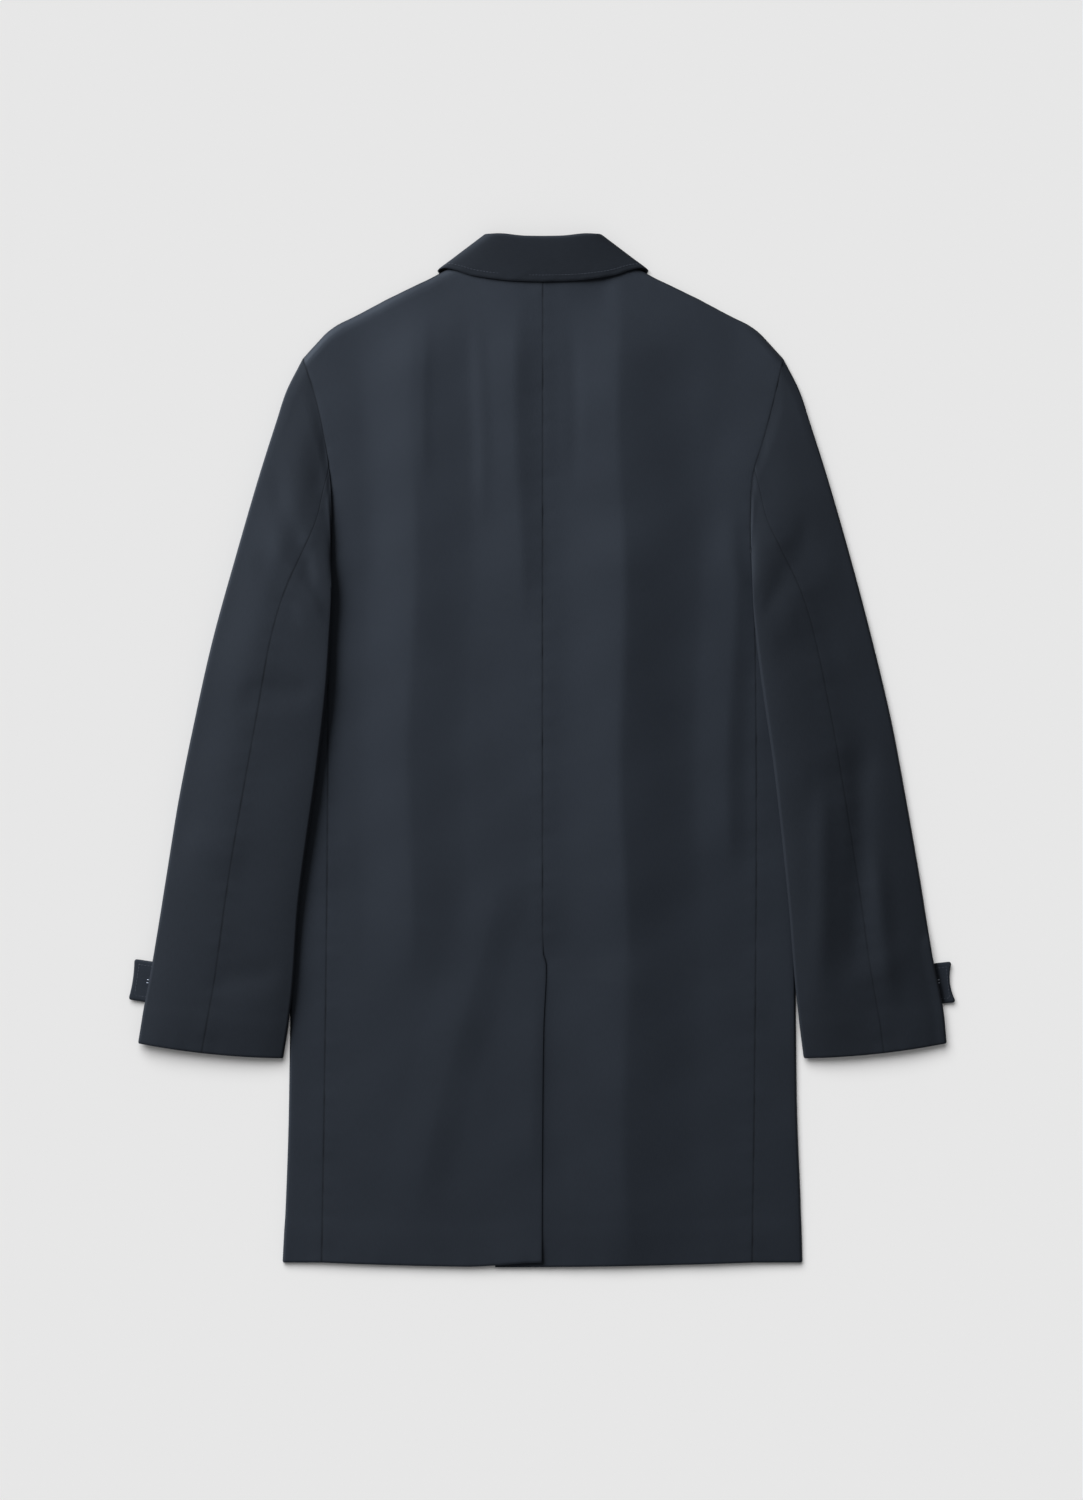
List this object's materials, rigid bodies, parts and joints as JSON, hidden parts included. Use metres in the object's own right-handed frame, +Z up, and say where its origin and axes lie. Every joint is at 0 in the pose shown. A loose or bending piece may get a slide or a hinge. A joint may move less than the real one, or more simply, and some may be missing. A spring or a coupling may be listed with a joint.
{
  "type": "long coat laid flat",
  "caption": "Knee-length navy car coat lying flat with its back up: turned-down collar, two-piece sleeves with cuff tabs, centre-back seam and a vent at the hem.",
  "frame": {"origin": "on the coat's underside, at the middle of its plan, where the left front lies on the surface", "axes": "+X to the right of the coat as seen from above, +Y from the hem to the neck, +Z up from the surface it lies on"},
  "size_m": [0.7851, 0.9834, 0.0154],
  "materials": {
    "shell_cloth": "smooth matte cotton gabardine, dark navy, fine twill",
    "button": "dark satin button"
  },
  "bodies": {
    "root": {"back_left": "shell_cloth", "back_right": "shell_cloth", "front_left": "shell_cloth", "front_right": "shell_cloth", "sleeve_left_top": "shell_cloth", "sleeve_left_under": "shell_cloth", "sleeve_right_top": "shell_cloth", "sleeve_right_under": "shell_cloth", "collar_fall": "shell_cloth", "collar_stand": "shell_cloth", "cuff_tab_left": "shell_cloth", "cuff_tab_right": "shell_cloth", "tab_button_left": "button", "tab_button_right": "button"}
  },
  "joints": []
}
